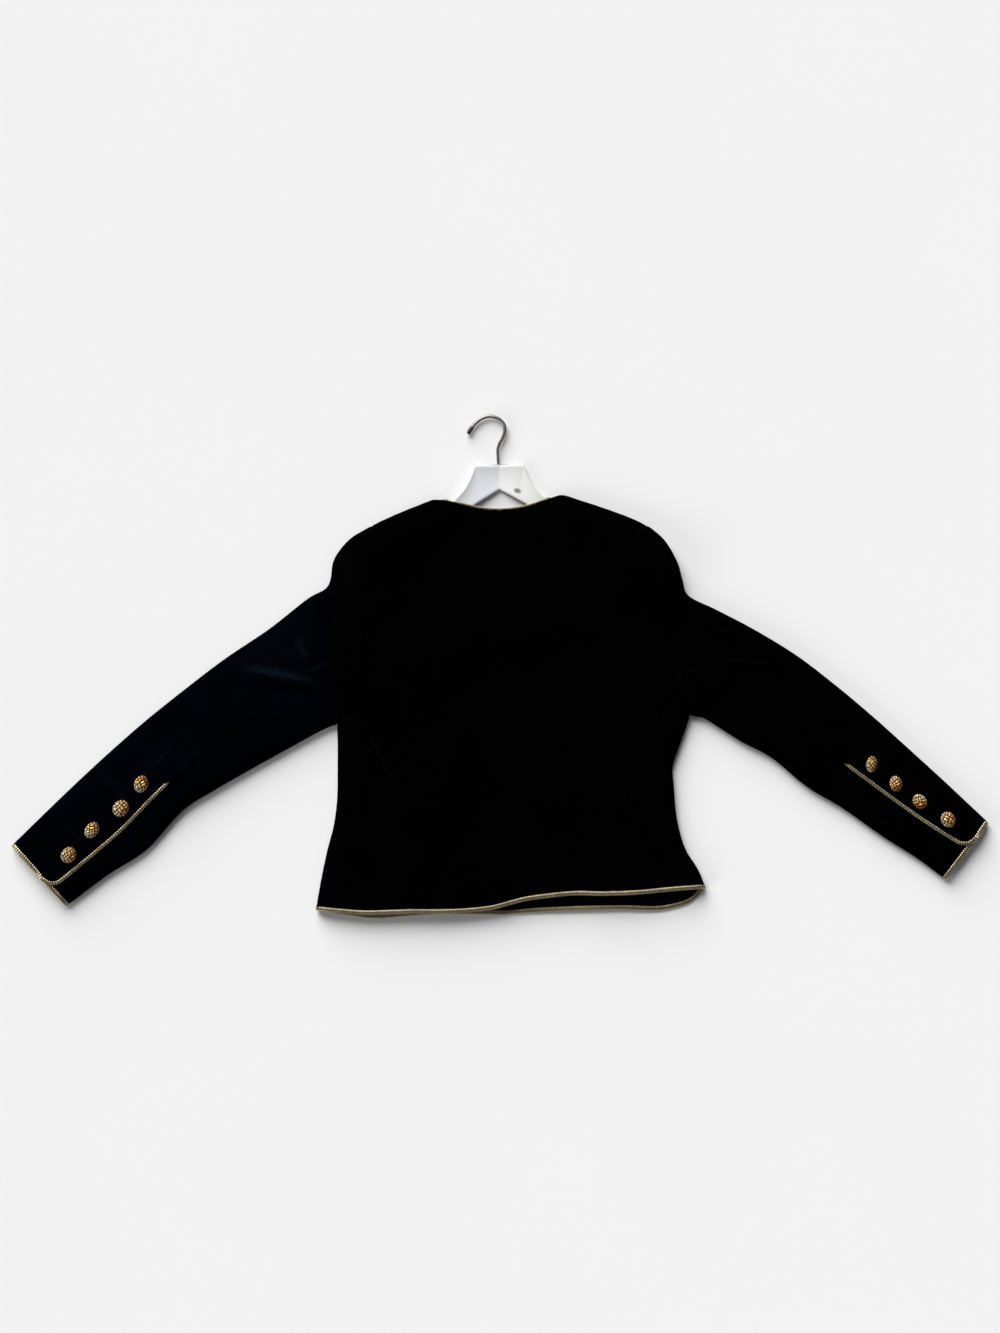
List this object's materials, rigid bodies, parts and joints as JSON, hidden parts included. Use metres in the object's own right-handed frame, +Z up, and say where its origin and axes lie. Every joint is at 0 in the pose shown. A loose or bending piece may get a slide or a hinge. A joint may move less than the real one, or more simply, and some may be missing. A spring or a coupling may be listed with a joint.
{
  "type": "short jacket on a hanger",
  "caption": "Short collarless velvet jacket with braid-bound neck, hem and vented cuffs, laid on its front with a hanger inside its shoulders.",
  "frame": {"origin": "on the surface it lies on, at the middle of the whole object's outline", "axes": "+Z up from the surface, +Y from the hem to the neck, +X to the right of someone who looks down at the back"},
  "size_m": [1.2208, 0.6295, 0.0315],
  "materials": {
    "velvet": "black cotton velvet, short dense pile",
    "braid": "metallic gold braid, fine plait",
    "gilt": "antiqued gilt, basket relief",
    "white_plastic": "smooth white",
    "steel": "bright wire"
  },
  "bodies": {
    "root": {"back_left": "velvet", "back_right": "velvet", "side_back_left": "velvet", "side_back_right": "velvet", "front_left": "velvet", "front_right": "velvet", "top_sleeve_left": "velvet", "top_sleeve_right": "velvet", "under_sleeve_left": "velvet", "under_sleeve_right": "velvet", "hem_braid": "braid", "neck_braid": "braid", "vent_braid_left": "braid", "vent_braid_right": "braid", "cuff_braid_left": "braid", "cuff_braid_right": "braid", "button_left_1": "gilt", "button_left_2": "gilt", "button_left_3": "gilt", "button_left_4": "gilt", "button_right_1": "gilt", "button_right_2": "gilt", "button_right_3": "gilt", "button_right_4": "gilt", "hanger": "white_plastic", "hook": "steel"}
  },
  "joints": []
}
